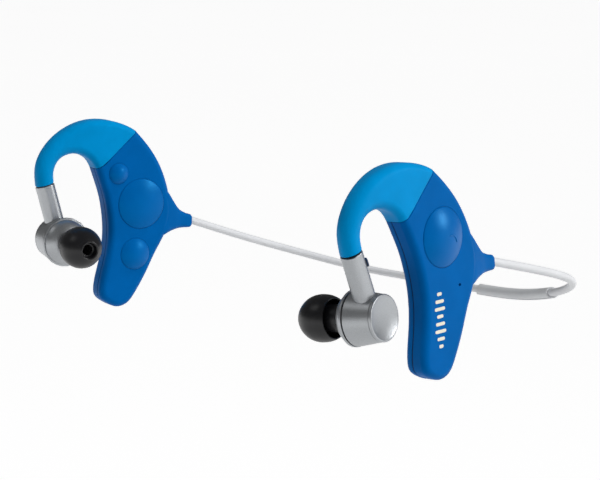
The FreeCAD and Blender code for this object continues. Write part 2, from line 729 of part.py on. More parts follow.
def button(pod, face, label, centre, name, ratio=1.0, turn=0.0):
    """Domed push button with a flange behind the wall that keeps it in."""
    radius, rise = size(name + "_radius"), size(name + "_rise")
    flange = radius + size("flange_width")
    low = size("flange_depth")
    top = low + size("flange_thickness")
    level = size("pod_thickness") / 2 + 0.1
    ball = (radius ** 2 + rise ** 2) / (2 * rise)
    half = radius * 0.55
    crown = level + rise
    shoulder = crown - ball + math.sqrt(ball ** 2 - half ** 2)
    origin = pod.local((0, centre[0], centre[1]))
    axis = Vec(pod.side * face, 0, 0)
    steps = [(0, low), (flange, low), (flange, top), (radius, top), (radius, level),
             ((half, shoulder), (0, crown))]
    if ratio == 1.0:
        return turned(label, pod.along(origin, axis), steps)
    outline = [Vec(x, 0, z) for x, z in steps[:-1]]
    edges = [Part.LineSegment(a, b).toShape() for a, b in zip(outline, outline[1:])]
    edges.append(Part.Arc(outline[-1], Vec(half, 0, shoulder), Vec(0, 0, crown)).toShape())
    edges.append(Part.LineSegment(Vec(0, 0, crown), outline[0]).toShape())
    solid = Part.Face(Part.Wire(edges)).revolve(Vec(0, 0, 0), Vec(0, 0, 1), 360)
    stretch = FreeCAD.Matrix()
    stretch.scale(1.0, ratio, 1.0)
    angle = math.radians(90.0 + turn)
    long_way = Vec(0, math.cos(angle), math.sin(angle))
    frame = FreeCAD.Rotation(long_way, Vec(0, 0, 0), axis, "ZXY")
    return feature(label, solid.transformGeometry(stretch),
                   pod.frame.multiply(FreeCAD.Placement(origin, frame)))


def disc(pod, label, centre, radius, low, high):
    """Plain round piece between two w levels of a pod, sized from the sheet."""
    item = doc.addObject("Part::Cylinder", label)
    bind(item, Radius=radius)
    item.Height = high - low
    item.Placement = pod.along(pod.local((low, centre[0], centre[1])), Vec(pod.side, 0, 0))
    return item


def block(pod, label, centre, low, high, width, length):
    """Plain box between two w levels of a pod, centred at a (u, v) place."""
    item = doc.addObject("Part::Box", label)
    item.Length = high - low
    item.Width = width
    item.Height = length
    corner = Vec(min(pod.side * low, pod.side * high), centre[0] - width / 2,
                 centre[1] - length / 2)
    item.Placement = pod.frame.multiply(FreeCAD.Placement(corner, FreeCAD.Rotation()))
    return keep(item, label)


def circuit_board(pod, low, cut_below=None):
    label = pod.name + "_circuit_board"
    body = new_body(label, pod.frame)
    outline = new_sketch(body, "YZ_Plane", label + "_outline", pod.side * low)
    draw_outline(outline, size("board_inset"))
    pad(body, outline, pod.side, "Sizes.board_thickness")
    if cut_below is not None:
        doc.recompute()
        trim = new_sketch(body, "YZ_Plane", label + "_trim", pod.side * (low - 0.5))
        draw_profile(trim, [(-10, -40), (30, -40), (30, cut_below), (-10, cut_below)])
        pocket(body, trim, pod.side, "Sizes.board_thickness + 1.0")
    return body


def left_electronics(pod):
    circuit_board(pod, -0.4, cut_below=-16.5)
    keep(disc(pod, "call_switch", CALL_BUTTON, "Sizes.switch_radius", 0.4, 1.6),
         "call_switch")
    keep(disc(pod, "microphone", MICROPHONE, "Sizes.microphone_radius", 0.4, 2.7), "microphone")
    block(pod, "bluetooth_module", (7.6, -10.6), 0.4, 1.9, 8.6, 7.0)
    charge_port(pod)


def right_electronics(pod):
    circuit_board(pod, -0.5)
    block(pod, "battery", (9.2, -6.0), 0.5, 2.6, 11.0, 22.0)
    discs = [disc(pod, "switch_%d" % number, centre, "Sizes.switch_radius", -1.65, -0.5)
             for number, centre in enumerate((UP_BUTTON, PLAY_BUTTON, DOWN_BUTTON))]
    group = doc.addObject("Part::Compound", "button_switches")
    group.Links = discs
    keep(group, "button_switches")


def port_box(pod, label, level, deep, width, length):
    """A box on the port's centre, with its mouth towards the head at a w level."""
    box = doc.addObject("Part::Box", label)
    box.Length = deep
    bind(box, Width=width, Height=length)
    doc.recompute()
    corner = Vec(level, PORT[0] - box.Width.Value / 2, PORT[1] - box.Height.Value / 2)
    box.Placement = pod.frame.multiply(FreeCAD.Placement(corner, FreeCAD.Rotation()))
    return box


def charge_port(pod):
    """Upright receptacle behind the cover, open towards the head."""
    low, deep = -2.7, 4.9
    hollow = doc.addObject("Part::Cut", "port_hollow")
    hollow.Base = port_box(pod, "port_block", low, deep, "Sizes.port_width", "Sizes.port_length")
    hollow.Tool = port_box(pod, "port_mouth", low - 0.6, deep, "Sizes.port_width"
                           " - 2 * Sizes.port_wall", "Sizes.port_length - 2 * Sizes.port_wall")
    whole = doc.addObject("Part::Fuse", "charge_port")
    whole.Base = hollow
    whole.Tool = port_box(pod, "port_tongue", low + 0.5, deep - 1.0, "Sizes.port_width * 0.15",
                          "Sizes.port_length - 4 * Sizes.port_wall")
    return keep(whole, "charge_port")


def port_cover(pod):
    """Rubber flap that lies flush in the inner face and opens about its lower edge."""
    gap = size("cover_gap")
    body = new_body("port_cover", pod.frame)
    face = -size("pod_thickness") / 2
    sketch = new_sketch(body, "YZ_Plane", "port_cover_outline", face)
    draw_rounded(sketch, PORT, size("cover_width") - 2 * gap, size("cover_length") - 2 * gap,
                 size("cover_corner") - gap)
    pad(body, sketch, 1, "Sizes.cover_thickness")
    return body


# ---------------------------------------------------------------- assembly

def build():
    pods = (Pod("left", 1), Pod("right", -1))
    route = neckband(pods)
    for pod in pods:
        outer = outer_shell(pod)
        inner = inner_shell(pod)
        if pod.side > 0:
            opening(outer, pod, 1, CALL_BUTTON, "call_radius + button_gap",
                    size("call_ratio"), size("call_turn"))
            opening(outer, pod, 1, MICROPHONE, "microphone_hole")
            slot_opening(inner, pod, -1)
        else:
            for centre, name in ((UP_BUTTON, "up"), (PLAY_BUTTON, "play"), (DOWN_BUTTON, "down")):
                opening(inner, pod, -1, centre, name + "_radius + button_gap")
        shell_gasket(pod)
        hook_and_core(pod)
        cord_boot(pod, route)
        for make in (stem_ring, stem, driver_can, can_cap, bezel_gasket, front_shell,
                     nozzle_mesh, driver_unit, diaphragm, ear_tip):
            make(pod)
    left, right = pods
    button(left, 1, "call_button", CALL_BUTTON, "call", size("call_ratio"), size("call_turn"))
    button(right, -1, "volume_up_button", UP_BUTTON, "up")
    button(right, -1, "play_button", PLAY_BUTTON, "play")
    button(right, -1, "volume_down_button", DOWN_BUTTON, "down")
    left_electronics(left)
    right_electronics(right)
    port_cover(left)
    side_mark(left)


def check_and_export():
    doc.recompute()
    for item in doc.Objects:
        if "Invalid" in item.State or "Error" in item.State:
            raise RuntimeError("failed: %s %s" % (item.Name, item.State))
    for node in nodes:
        shape = node.Shape
        if shape.isNull() or not shape.isValid():
            raise RuntimeError("bad shape: " + node.Label)
    os.makedirs("parts", exist_ok=True)
    for node in nodes:
        node.Shape.exportStep("parts/%s.step" % node.Label)
    print("%d nodes" % len(nodes))


build()
check_and_export()
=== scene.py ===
"""Neckband earphones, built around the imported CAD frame."""

import json
import math

import bmesh
import bpy
import numpy as np
from mathutils import Matrix, Vector


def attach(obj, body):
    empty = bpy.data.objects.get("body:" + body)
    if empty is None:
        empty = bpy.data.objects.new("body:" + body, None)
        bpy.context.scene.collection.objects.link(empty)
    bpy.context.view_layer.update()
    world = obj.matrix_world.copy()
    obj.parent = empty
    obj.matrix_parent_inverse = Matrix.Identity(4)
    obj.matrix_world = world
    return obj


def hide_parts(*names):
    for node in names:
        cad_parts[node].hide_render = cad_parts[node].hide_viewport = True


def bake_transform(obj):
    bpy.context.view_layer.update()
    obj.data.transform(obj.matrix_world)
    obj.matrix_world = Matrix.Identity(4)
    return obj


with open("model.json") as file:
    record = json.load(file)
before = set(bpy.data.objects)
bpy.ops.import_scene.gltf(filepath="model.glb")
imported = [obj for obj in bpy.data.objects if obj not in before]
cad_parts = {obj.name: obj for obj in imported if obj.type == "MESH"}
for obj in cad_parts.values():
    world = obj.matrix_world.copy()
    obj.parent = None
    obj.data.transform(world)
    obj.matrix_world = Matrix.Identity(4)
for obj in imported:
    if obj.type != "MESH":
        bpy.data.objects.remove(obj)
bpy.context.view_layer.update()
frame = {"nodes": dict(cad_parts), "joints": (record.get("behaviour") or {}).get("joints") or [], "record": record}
MM = 0.001

# ------------------------------------------------------------------ camera

FOCAL_LENGTH = 132.67
CAMERA_PLACE = (0.518033, -0.368295, 0.087986)
CAMERA_BACK = (0.79124553, -0.59437292, 0.14370578)


def make_camera():
    data = bpy.data.cameras.new("camera")
    data.lens = FOCAL_LENGTH
    data.sensor_width = 36.0
    data.clip_start = 0.01
    camera = bpy.data.objects.new("camera", data)
    back = Vector(CAMERA_BACK).normalized()
    right = Vector((0, 0, 1)).cross(back).normalized()
    up = back.cross(right)
    turn = Matrix((right, up, back)).transposed().to_4x4()
    camera.matrix_world = Matrix.Translation(CAMERA_PLACE) @ turn
    bpy.context.scene.collection.objects.link(camera)
    bpy.context.scene.camera = camera


make_camera()

# ------------------------------------------------------------------ frames from the record

JOINTS = {joint["name"]: joint for joint in frame["joints"]}
MOUNTS = {mount["name"]: mount for mount in frame["record"]["mounts"]}
TIP_LENGTH = 17.0
EAR_ROOT = (0, -11.5, 14.4)


class Pod:
    """One ear's frame: w outwards from the head, u backwards, v upwards, in millimetres."""

    def __init__(self, name, side):
        self.name = name
        self.side = side
        self.housing = name + "_housing"
        self.driver = name + "_driver"
        self.out = Vector(JOINTS[name + "_hook_flex"]["axis"]).normalized() * side
        self.up = -Vector(MOUNTS[name + "_ear_root"]["axis"]).normalized()
        self.back = self.up.cross(self.out) * side
        root = Vector(MOUNTS[name + "_ear_root"]["pos_m"])
        self.origin = root - self.offset(*EAR_ROOT)
        self.inward = Vector(JOINTS[name + "_tip_pull"]["axis"]).normalized()
        canal = Vector(MOUNTS[name + "_ear_canal"]["pos_m"])
        self.bezel = canal - self.inward * TIP_LENGTH * MM

    def offset(self, w, u, v):
        return (self.out * w + self.back * u + self.up * v) * MM

    def world(self, w, u, v):
        return self.origin + self.offset(w, u, v)

    def direction(self, w, u, v):
        return self.offset(w, u, v).normalized()

    def driver_frame(self):
        return turned_frame(self.bezel, self.inward, self.up)


def turned_frame(place, z_axis, x_hint):
    """Matrix with its origin at a world point, Z along a direction and X near a hint."""
    z = z_axis.normalized()
    x = (x_hint - z * x_hint.dot(z)).normalized()
    turn = Matrix((x, z.cross(x), z)).transposed().to_4x4()
    return Matrix.Translation(place) @ turn


LEFT = Pod("left", 1)
RIGHT = Pod("right", -1)
PODS = (LEFT, RIGHT)

# ------------------------------------------------------------------ outlines, millimetres

HOUSING = [
    (8.4, 22.3), (12.6, 18.2), (16.8, 12.9), (19.6, 7.6), (21.4, 2.5), (22.3, -2.5),
    (21.9, -7.5), (20.3, -12.0), (18.0, -16.5), (16.0, -21.0), (13.9, -25.5),
    (11.4, -30.0), (8.9, -33.1), (5.6, -34.2), (2.0, -33.0), (-0.5, -31.0), (-0.95, -28.3),
    (-0.4, -24.0), (0.55, -19.0), (1.05, -14.0), (0.95, -9.0), (0.2, -4.0), (-1.0, 0.8),
    (-2.6, 5.0), (-4.7, 9.9),
]
SEAM = [(-4.7, 9.9), (-2.5, 11.2), (-0.4, 13.3), (4.0, 17.8), (8.4, 22.3)]
HOOK = [
    ((12.6, 18.2), (-2.6, 5.0), 7.8, 2.0),
    ((8.4, 22.3), (-4.7, 9.9), 7.8, 2.0), ((1.9, 24.8), (-6.5, 12.4), 7.7, 2.15),
    ((-5.1, 25.4), (-8.7, 13.8), 7.4, 2.45), ((-12.1, 23.8), (-11.6, 14.5), 7.0, 2.75),
    ((-18.3, 20.0), (-14.3, 14.0), 6.6, 3.0), ((-22.2, 15.4), (-16.8, 12.4), 6.2, 2.95),
    ((-24.2, 9.8), (-18.3, 9.0), 5.95, 2.9), ((-23.68, 3.82), (-18.07, 5.62), 5.9, 2.88),
]
BOOT = [
    (16.6, 7.0, -13.2, 7.78, 2.0), (19.4, 4.9, -11.9, 7.7, 2.0), (21.4, 2.8, -10.9, 7.3, 1.9),
    (23.0, 0.8, -10.1, 6.6, 1.8), (24.6, -1.2, -9.55, 5.9, 1.7), (26.2, -2.8, -9.15, 5.1, 1.6),
    (28.2, -3.9, -8.9, 4.5, 1.3), (29.8, -4.45, -8.8, 4.2, 1.0),
    (30.5, -4.6, -8.7, 4.0, 0.9), (30.95, -4.9, -8.5, 3.86, 0.9),
]
BOOT_DEPTH = 1.4
BOOT_REACH = 0.016
BAND = [
    (70.5, 46.0, -11.0, 3.3), (65.3, 68.1, -17.4, 4.1), (51.3, 83.6, -23.0, 3.8),
    (32.9, 94.1, -27.0, 2.0), (11.2, 98.2, -29.4, 0.3),
]
CORD_START = (0.0, 25.5, -4.9)
THICKNESS = 7.8
EDGE_ROUND = 2.0
PARTING = {1: -0.75, -1: -1.05}

# ------------------------------------------------------------------ geometry helpers


def natural_spline(points, count):
    """Points evenly spread in parameter on the smooth curve through the given points."""
    values = np.array(points, dtype=float)
    steps = np.linalg.norm(np.diff(values[:, :2], axis=0), axis=1)
    knots = np.concatenate([[0.0], np.cumsum(steps)])
    size = len(values)
    system = np.eye(size)
    right = np.zeros_like(values)
    for index in range(1, size - 1):
        before, after = steps[index - 1], steps[index]
        system[index, index - 1] = before
        system[index, index] = 2 * (before + after)
        system[index, index + 1] = after
        right[index] = 6 * ((values[index + 1] - values[index]) / after
                            - (values[index] - values[index - 1]) / before)
    curvature = np.linalg.solve(system, right)
    places = np.linspace(0, knots[-1], count)
    result = []
    for place in places:
        index = min(int(np.searchsorted(knots, place, side="right")) - 1, size - 2)
        step = steps[index]
        a = (knots[index + 1] - place) / step
        b = 1 - a
        result.append(tuple(
            a * values[index] + b * values[index + 1]
            + ((a ** 3 - a) * curvature[index] + (b ** 3 - b) * curvature[index + 1])
            * step ** 2 / 6))
    return result


def inset(points, distance):
    """Moves an open outline to the inside of the pod by a distance."""
    moved = []
    last = len(points) - 1
    for index, (x, y) in enumerate(points):
        before, after = points[max(index - 1, 0)], points[min(index + 1, last)]
        run = math.hypot(after[0] - before[0], after[1] - before[1])
        moved.append((x + distance * (after[1] - before[1]) / run,
                      y - distance * (after[0] - before[0]) / run))
    return moved


def shade(mesh, smooth_angle):
    """Smooth shading, with creases where faces meet at more than an angle in degrees."""
    for polygon in mesh.polygons:
        polygon.use_smooth = True
    mesh.set_sharp_from_angle(angle=math.radians(smooth_angle))


WELD = 1e-7


def mesh_object(name, bm, body=None, smooth_angle=35.0):
    bmesh.ops.remove_doubles(bm, verts=bm.verts, dist=WELD)
    bmesh.ops.recalc_face_normals(bm, faces=bm.faces)
    mesh = bpy.data.meshes.new(name)
    bm.to_mesh(mesh)
    bm.free()
    shade(mesh, smooth_angle)
    obj = bpy.data.objects.new(name, mesh)
    bpy.context.scene.collection.objects.link(obj)
    if body:
        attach(obj, body)
    return obj


def bridge(bm, rings):
    """Faces between successive closed rings of points, with flat caps at the ends."""
    made = [[bm.verts.new(point) for point in ring] for ring in rings]
    for lower, upper in zip(made, made[1:]):
        count = len(lower)
        for index in range(count):
            after = (index + 1) % count
            bm.faces.new((lower[index], lower[after], upper[after], upper[index]))
    bm.faces.new(made[0][::-1])
    bm.faces.new(made[-1])


TURNED_SIDES = 128


def turned(name, matrix, profile, body, smooth_angle=35.0):
    """Solid turned about the frame's Z axis from (radius, height) points in millimetres."""
    bm = bmesh.new()
    rows = []
    for radius, height in profile:
        if radius < 1e-6:
            rows.append([bm.verts.new(matrix @ Vector((0, 0, height * MM)))])
            continue
        ring = []
        for step in range(TURNED_SIDES):
            angle = 2 * math.pi * step / TURNED_SIDES
            point = Vector((radius * math.cos(angle), radius * math.sin(angle), height))
            ring.append(bm.verts.new(matrix @ (point * MM)))
        rows.append(ring)
    pairs = list(zip(rows, rows[1:]))
    if len(rows[0]) > 1 or len(rows[-1]) > 1:
        pairs.append((rows[-1], rows[0]))
    for lower, upper in pairs:
        for step in range(TURNED_SIDES):
            after = (step + 1) % TURNED_SIDES
            if len(lower) == 1:
                bm.faces.new((lower[0], upper[after], upper[step]))
            elif len(upper) == 1:
                bm.faces.new((lower[step], lower[after], upper[0]))
            else:
                bm.faces.new((lower[step], lower[after], upper[after], upper[step]))
    return mesh_object(name, bm, body, smooth_angle)


def arc_points(first, middle, last, count):
    """Points on the arc through three (x, y) points, without the first one."""
    ax, ay = first
    bx, by = middle
    cx, cy = last
    d = 2 * (ax * (by - cy) + bx * (cy - ay) + cx * (ay - by))
    ux = ((ax ** 2 + ay ** 2) * (by - cy) + (bx ** 2 + by ** 2) * (cy - ay)
          + (cx ** 2 + cy ** 2) * (ay - by)) / d
    uy = ((ax ** 2 + ay ** 2) * (cx - bx) + (bx ** 2 + by ** 2) * (ax - cx)
          + (cx ** 2 + cy ** 2) * (bx - ax)) / d
    radius = math.hypot(ax - ux, ay - uy)
    start = math.atan2(ay - uy, ax - ux)
    mid = (math.atan2(by - uy, bx - ux) - start) % (2 * math.pi)
    end = (math.atan2(cy - uy, cx - ux) - start) % (2 * math.pi)
    if mid > end:
        end -= 2 * math.pi
    return [(ux + radius * math.cos(start + end * step / count),
             uy + radius * math.sin(start + end * step / count))
            for step in range(1, count + 1)]


def profile_points(steps, count):
    """A profile of points and arcs: an arc is a pair (middle, end)."""
    result = [steps[0]]
    for step in steps[1:]:
        if isinstance(step[0], tuple):
            result += arc_points(result[-1], step[0], step[1], count)
        else:
            result.append(step)
    return result


SIDE_STEPS = 5


def rounded_section(half, deep, corner, per_corner=9):
    """Points round a rounded rectangle: x along half, y along deep."""
    corner = min(corner, half - 0.02, deep - 0.02)
    points = []
    for quarter, (sx, sy) in enumerate([(1, 1), (-1, 1), (-1, -1), (1, -1)]):
        cx, cy = sx * (half - corner), sy * (deep - corner)
        for step in range(per_corner):
            angle = math.pi / 2 * (quarter + step / (per_corner - 1))
            points.append((cx + corner * math.cos(angle), cy + corner * math.sin(angle)))
        nx, ny = [(-1, 1), (-1, -1), (1, -1), (1, 1)][quarter]
        here = points[-1]
        angle = math.pi / 2 * (quarter + 1)
        there = (nx * (half - corner) + corner * math.cos(angle),
                 ny * (deep - corner) + corner * math.sin(angle))
        for step in range(1, SIDE_STEPS):
            share = step / SIDE_STEPS
            points.append((here[0] + (there[0] - here[0]) * share,
                           here[1] + (there[1] - here[1]) * share))
    return points


# ------------------------------------------------------------------ materials

def new_material(name, colour, roughness, metallic=0.0):
    material = bpy.data.materials.new(name)
    material.use_nodes = True
    nodes = material.node_tree.nodes
    shader = nodes["Principled BSDF"]
    shader.inputs["Base Color"].default_value = (*colour, 1)
    shader.inputs["Roughness"].default_value = roughness
    shader.inputs["Metallic"].default_value = metallic
    return material, nodes, material.node_tree.links, shader


def add_noise(nodes, links, scale, detail=3.0):
    place = nodes.new("ShaderNodeTexCoord")
    noise = nodes.new("ShaderNodeTexNoise")
    noise.inputs["Scale"].default_value = scale
    noise.inputs["Detail"].default_value = detail
    links.new(place.outputs["Object"], noise.inputs["Vector"])
    return noise


def add_bump(nodes, links, shader, source, strength, distance):
    bump = nodes.new("ShaderNodeBump")
    bump.inputs["Strength"].default_value = strength
    bump.inputs["Distance"].default_value = distance
    links.new(source, bump.inputs["Height"])
    links.new(bump.outputs["Normal"], shader.inputs["Normal"])


def add_range(nodes, links, source, low, high):
    """Maps a noise between two values, for roughness or colour."""
    remap = nodes.new("ShaderNodeMapRange")
    remap.inputs["From Min"].default_value = 0.3
    remap.inputs["From Max"].default_value = 0.7
    remap.inputs["To Min"].default_value = low
    remap.inputs["To Max"].default_value = high
    links.new(source, remap.inputs["Value"])
    return remap.outputs["Result"]


def tint(nodes, links, shader, source, first, second):
    mix = nodes.new("ShaderNodeMix")
    mix.data_type = "RGBA"
    mix.inputs["A"].default_value = (*first, 1)
    mix.inputs["B"].default_value = (*second, 1)
    links.new(source, mix.inputs["Factor"])
    links.new(mix.outputs["Result"], shader.inputs["Base Color"])


def plastic(name, colour, roughness, grain=9000.0, grain_depth=0.12, variation=0.06,
            shine=0.25, sheen=(1, 1, 1)):
    """Moulded plastic or rubber: a fine grain, and slow changes of gloss and tone."""
    material, nodes, links, shader = new_material(name, colour, roughness)
    shader.inputs["Specular IOR Level"].default_value = shine
    shader.inputs["Specular Tint"].default_value = (*sheen, 1)
    cloud = add_noise(nodes, links, 120.0)
    links.new(add_range(nodes, links, cloud.outputs["Fac"], roughness - 0.04, roughness + 0.05),
              shader.inputs["Roughness"])
    tint(nodes, links, shader, add_range(nodes, links, cloud.outputs["Fac"], 0.0, 1.0),
         [c * (1 - variation) for c in colour], [min(1.0, c * (1 + variation)) for c in colour])
    grit = add_noise(nodes, links, grain, 2.0)
    add_bump(nodes, links, shader, grit.outputs["Fac"], grain_depth, 0.00004)
    return material


def silver_paint(name, colour, roughness):
    """Metallic paint: fine flakes in tone, gloss and relief."""
    material, nodes, links, shader = new_material(name, colour, roughness, 0.9)
    flakes = add_noise(nodes, links, 7000.0, 1.0)
    links.new(add_range(nodes, links, flakes.outputs["Fac"], roughness - 0.06, roughness + 0.08),
              shader.inputs["Roughness"])
    tint(nodes, links, shader, add_range(nodes, links, flakes.outputs["Fac"], 0.0, 1.0),
         [c * 0.86 for c in colour], [min(1.0, c * 1.1) for c in colour])
    add_bump(nodes, links, shader, flakes.outputs["Fac"], 0.10, 0.00003)
    return material


BLUE = (0.0, 0.118, 0.41)
HOOK_BLUE = (0.0, 0.275, 0.64)
BLUE_SHEEN = (0.0, 0.5, 1.0)
MATERIALS = {
    "housing_blue": plastic("housing_soft_touch", BLUE, 0.42, shine=0.1,
                            sheen=BLUE_SHEEN),
    "button_blue": plastic("button_soft_touch", BLUE, 0.31, shine=0.55,
                           sheen=BLUE_SHEEN),
    "hook_blue": plastic("hook_elastomer", HOOK_BLUE, 0.44, grain=6000.0, shine=0.2,
                         sheen=BLUE_SHEEN),
    "gasket_black": plastic("gasket_rubber", (0.0, 0.012, 0.04), 0.7),
    "seal_dark": plastic("seal_rubber", (0.012, 0.012, 0.014), 0.5),
    "silver_paint": silver_paint("silver_metallic_paint", (0.50, 0.52, 0.54), 0.36),
    "tip_silicone": plastic("black_silicone", (0.008, 0.008, 0.0095), 0.32, grain=5000.0,
                            grain_depth=0.06, shine=0.5),
    "cord_white": plastic("cord_jacket", (0.74, 0.75, 0.77), 0.45, grain=4000.0,
                          variation=0.02),
    "sleeve_grey": plastic("sleeve_plastic", (0.70, 0.715, 0.73), 0.4, variation=0.04),
    "spring_steel": silver_paint("spring_steel", (0.55, 0.55, 0.57), 0.3),
    "nozzle_mesh": silver_paint("mesh_steel", (0.10, 0.10, 0.11), 0.45),
    "magnet_steel": silver_paint("plated_steel", (0.5, 0.5, 0.52), 0.25),
    "film": plastic("diaphragm_film", (0.5, 0.46, 0.35), 0.25),
    "board_green": plastic("solder_mask", (0.01, 0.09, 0.04), 0.35),
    "component_black": plastic("chip_black", (0.02, 0.02, 0.022), 0.5),
    "cell_foil": silver_paint("battery_foil", (0.65, 0.66, 0.68), 0.4),
}
PRINT_CREAM = plastic("print_ink", (0.86, 0.80, 0.66), 0.5, grain_depth=0.05, variation=0.02)


def dress(obj, slot):
    obj.data.materials.clear()
    obj.data.materials.append(MATERIALS[slot])


# ------------------------------------------------------------------ cord and sleeve

def cord_route():
    points = [LEFT.world(*CORD_START)]
    points += [Vector((x, y, z + lean)) * MM for x, y, z, lean in BAND]
    points += [Vector((-x, y, z - lean)) * MM for x, y, z, lean in BAND[::-1]]
    points.append(RIGHT.world(*CORD_START))
    return points


def read_route(points, resolution):
    """Points along the smooth NURBS line that has the route as its control points."""
    curve = bpy.data.curves.new("route", "CURVE")
    curve.dimensions = "3D"
    spline = curve.splines.new("NURBS")
    spline.points.add(len(points) - 1)
    for point, place in zip(spline.points, points):
        point.co = (*place, 1.0)
    spline.order_u = 3
    spline.use_endpoint_u = True
    spline.resolution_u = resolution
    holder = bpy.data.objects.new("route", curve)
    mesh = bpy.data.meshes.new_from_object(holder)
    places = [vertex.co.copy() for vertex in mesh.vertices]
    bpy.data.objects.remove(holder)
    return places


def carried_frames(path, first_hint):
    """A steady pair of cross directions at each point of a path."""
    frames = []
    hint = first_hint
    for index in range(len(path)):
        before, after = path[max(index - 1, 0)], path[min(index + 1, len(path) - 1)]
        way = (after - before).normalized()
        hint = (hint - way * hint.dot(way)).normalized()
        frames.append((hint, way.cross(hint)))
    return frames


def blend_band(obj):
    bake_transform(obj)


def tube_rings(path, radius, sides):
    """Rings of points round a path, with one side kept towards +Z."""
    rings = []
    for place, (first, second) in zip(path, carried_frames(path, Vector((0, 0, 1)))):
        rings.append([place + (first * math.cos(2 * math.pi * k / sides)
                               + second * math.sin(2 * math.pi * k / sides)) * radius * MM
                      for k in range(sides)])
    return rings


CORD_RADIUS, CORD_SIDES, CORD_BORE, CORD_BORE_SIDES = 1.22, 32, 1.28, 40
ROUTE_RESOLUTION = 24


def make_cord():
    path = read_route(cord_route(), ROUTE_RESOLUTION)
    bm = bmesh.new()
    bridge(bm, tube_rings(path, CORD_RADIUS, CORD_SIDES))
    cord = mesh_object("neckband_cord_jacket", bm)
    dress(cord, "cord_white")
    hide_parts("neckband_cord")
    blend_band(cord)
    return cord, path


CORD, CORD_PATH = make_cord()

# ------------------------------------------------------------------ split sleeve on the cord

SLEEVE_START, SLEEVE_LENGTH = 88.0, 39.5
SLEEVE_RADIUS, SLEEVE_BORE, SLEEVE_SLIT = 1.77, 1.28, 0.25
SLEEVE_SLANT, SLEEVE_ROUND = 0.9, 0.16
SLEEVE_SIDES, SLEEVE_STATIONS = 40, 60
SLIT_FACING = (0, -0.95, -0.31)


def path_sampler(path, frames):
    """Returns a function from distance along a path to its place and cross directions."""
    steps = [0.0]
    for a, b in zip(path, path[1:]):
        steps.append(steps[-1] + (b - a).length)

    def at(distance):
        index = min(max(int(np.searchsorted(steps, distance)) - 1, 0), len(path) - 2)
        share = (distance - steps[index]) / (steps[index + 1] - steps[index])
        place = path[index].lerp(path[index + 1], share)
        first = frames[index][0].lerp(frames[index + 1][0], share).normalized()
        second = frames[index][1].lerp(frames[index + 1][1], share).normalized()
        return place, first, second

    return at


def make_sleeve():
    """Split sleeve: a section like a C swept along the nape, with slanted, rounded ends."""
    at = path_sampler(CORD_PATH, carried_frames(CORD_PATH, Vector(SLIT_FACING)))
    outer_gap = math.asin(SLEEVE_SLIT / SLEEVE_RADIUS)
    inner_gap = math.asin(SLEEVE_SLIT / SLEEVE_BORE)
    turns = 2 * math.pi
    section = []
    for step in range(SLEEVE_SIDES + 1):
        angle = outer_gap + (turns - 2 * outer_gap) * step / SLEEVE_SIDES
        section.append((angle, SLEEVE_RADIUS))
    for step in range(SLEEVE_SIDES + 1):
        angle = turns - inner_gap - (turns - 2 * inner_gap) * step / SLEEVE_SIDES
        section.append((angle, SLEEVE_BORE))
    lead = [(0.0, SLEEVE_ROUND), (0.05, 0.05), (SLEEVE_ROUND, 0.0)]
    stations = lead + [(distance, 0.0) for distance in
                       np.linspace(1.0, SLEEVE_LENGTH - 1.0, SLEEVE_STATIONS)]
    stations += [(SLEEVE_LENGTH - distance, shrink) for distance, shrink in lead[::-1]]
    bm = bmesh.new()
    rings = []
    for distance, shrink in stations:
        share = distance / SLEEVE_LENGTH
        ring = []
        for angle, radius in section:
            lean = SLEEVE_SLANT * math.sin(angle) * (1 - 2 * share)
            place, first, second = at((SLEEVE_START + distance + lean) * MM)
            reach = radius - shrink if radius > SLEEVE_BORE else radius
            ring.append(place + (first * math.cos(angle) + second * math.sin(angle))
                        * reach * MM)
        rings.append(ring)
    bridge(bm, rings)
    sleeve = mesh_object("cord_split_sleeve", bm, smooth_angle=40)
    dress(sleeve, "sleeve_grey")
    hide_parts("cord_sleeve")
    blend_band(sleeve)
    return sleeve


SLEEVE = make_sleeve()
BOOT_MOUTH = LEFT.world(0.0, 31.2, -6.6)

# ------------------------------------------------------------------ housing shells

EDGE_SAMPLES, SEAM_SAMPLES, EDGE_POINTS, SEAM_POINTS = 241, 49, 168, 24
EDGE = natural_spline(HOUSING, EDGE_SAMPLES)
SEAM_LINE = natural_spline(SEAM, SEAM_SAMPLES)


def meeting(first, second):
    """Where two polylines cross: their segment numbers and the point."""
    for i, (a, b) in enumerate(zip(first, first[1:])):
        for j, (c, d) in enumerate(zip(second, second[1:])):
            rx, ry = b[0] - a[0], b[1] - a[1]
            sx, sy = d[0] - c[0], d[1] - c[1]
            cross = rx * sy - ry * sx
            if abs(cross) < 1e-12:
                continue
            t = ((c[0] - a[0]) * sy - (c[1] - a[1]) * sx) / cross
            u = ((c[0] - a[0]) * ry - (c[1] - a[1]) * rx) / cross
            if -1e-9 <= t <= 1 + 1e-9 and -1e-9 <= u <= 1 + 1e-9:
                return i, j, (a[0] + t * rx, a[1] + t * ry)
    raise ValueError("the lines don't cross")


OVERRUN = 4.0


def extended(points):
    """The same line with a straight run added past both of its ends."""
    def beyond(end, inner):
        run = math.hypot(end[0] - inner[0], end[1] - inner[1])
        return (end[0] + (end[0] - inner[0]) * OVERRUN / run,
                end[1] + (end[1] - inner[1]) * OVERRUN / run)
    return [beyond(points[0], points[1])] + list(points) + [beyond(points[-1], points[-2])]


def resampled(points, count):
    """The same line with evenly spaced points, without the last one."""
    steps = [0.0]
    for a, b in zip(points, points[1:]):
        steps.append(steps[-1] + math.dist(a, b))
    values = np.array(points)
    places = np.linspace(0, steps[-1], count + 1)[:-1]
    return list(zip(np.interp(places, steps, values[:, 0]),
                    np.interp(places, steps, values[:, 1])))


